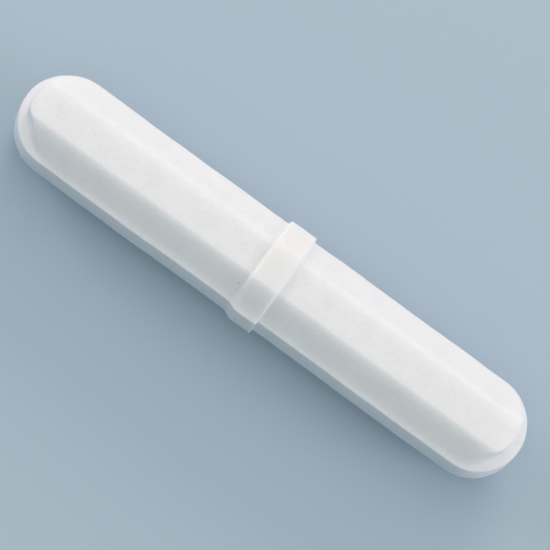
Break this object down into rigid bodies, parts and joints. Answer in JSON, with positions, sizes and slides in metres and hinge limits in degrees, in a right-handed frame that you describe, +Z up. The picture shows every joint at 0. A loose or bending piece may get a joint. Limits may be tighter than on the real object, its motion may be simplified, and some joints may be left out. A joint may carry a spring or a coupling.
{
  "type": "magnetic stir bar",
  "caption": "Octagonal magnetic stir bar with rounded ends and a raised pivot ring round its middle, in white PTFE over a sealed rod magnet.",
  "frame": {"origin": "centre of the pivot ring's lowest facet, which is the facet the bar rests on", "axes": "+X along the bar, +Z up out of the resting facet, +Y level and square to the bar"},
  "size_m": [0.0762, 0.0138, 0.0137],
  "materials": {
    "jacket": "satin white PTFE, slightly waxy, lets a little light through at its edges",
    "magnet_core": "dull dark grey, as cast"
  },
  "bodies": {
    "root": {"jacket": "jacket", "magnet_core": "magnet_core"}
  },
  "joints": []
}
